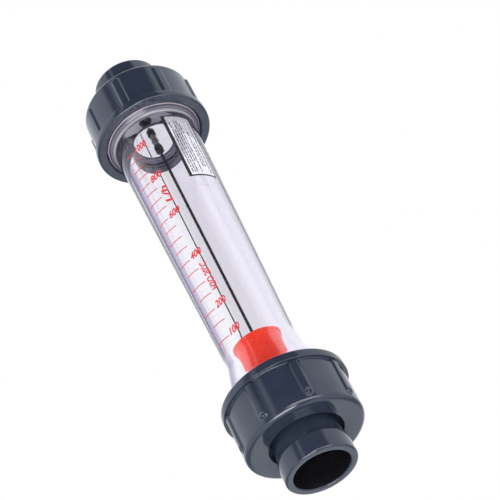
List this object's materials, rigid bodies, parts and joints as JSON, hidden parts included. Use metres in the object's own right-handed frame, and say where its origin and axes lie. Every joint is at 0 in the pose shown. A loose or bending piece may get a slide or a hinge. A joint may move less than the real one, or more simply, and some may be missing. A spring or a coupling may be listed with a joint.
{
  "type": "rotameter",
  "caption": "Variable-area flow meter with a tapered clear tube, a guided red float, a printed flow scale and ribbed union nuts on glue-socket tails.",
  "frame": {"origin": "centre of the inlet socket's mouth, on the plane that the meter stands on", "axes": "+Z along the tube's axis, the way the fluid flows and the float rises; the printed scale faces between -Y and +X"},
  "size_m": [0.072, 0.072, 0.308],
  "materials": {
    "grey_pvc": "moulded dark slate grey plastic",
    "clear_tube": "clear moulded plastic, faint violet tint",
    "float_red": "bright orange-red plastic",
    "stop_grey": "grey moulded plastic",
    "guide_pale": "pale grey moulded plastic",
    "rod_steel": "drawn stainless steel",
    "nut_steel": "turned stainless steel",
    "bush_white": "white fluoroplastic",
    "seal_rubber": "black rubber",
    "scale_red": "red screen print",
    "label_film": "clear film with black lines"
  },
  "bodies": {
    "tube": {"metering_tube": "clear_tube", "flow_scale": "scale_red", "rating_label": "label_film", "guide_rod": "rod_steel", "lower_guide": "guide_pale", "lower_stop": "stop_grey", "lower_cushion": "seal_rubber", "lower_rod_nut": "nut_steel", "upper_guide": "guide_pale", "upper_stop": "nut_steel", "upper_cushion": "seal_rubber", "upper_rod_nut": "nut_steel"},
    "float": {"float_body": "float_red", "float_cap": "float_red", "float_weight": "nut_steel", "float_bottom_bush": "bush_white", "float_top_bush": "bush_white"},
    "inlet_end": {"inlet_tail": "grey_pvc", "inlet_seal": "seal_rubber"},
    "inlet_union": {"inlet_nut": "grey_pvc"},
    "outlet_end": {"outlet_tail": "grey_pvc", "outlet_seal": "seal_rubber"},
    "outlet_union": {"outlet_nut": "grey_pvc"}
  },
  "joints": [
    {"name": "float_rise", "type": "slide", "parent": "tube", "child": "float", "axis": [0, 0, 1], "range_m": [0, 0.1563]},
    {"name": "inlet_draw", "type": "slide", "parent": "tube", "child": "inlet_end", "axis": [0, 0, -1], "range_m": [0, 0.0128]},
    {"name": "inlet_nut_turn", "type": "hinge", "parent": "inlet_end", "child": "inlet_union", "pos_m": [0, 0, 0.0366], "axis": [0, 0, -1], "range_deg": [0, 1980]},
    {"name": "outlet_draw", "type": "slide", "parent": "tube", "child": "outlet_end", "axis": [0, 0, 1], "range_m": [0, 0.0128]},
    {"name": "outlet_nut_turn", "type": "hinge", "parent": "outlet_end", "child": "outlet_union", "pos_m": [0, 0, 0.2714], "axis": [0, 0, 1], "range_deg": [0, 1980]}
  ],
  "couplings": [
    {"joint": "inlet_draw", "follows": "inlet_nut_turn", "m_per_rad": 0.0003675},
    {"joint": "outlet_draw", "follows": "outlet_nut_turn", "m_per_rad": 0.0003675}
  ]
}
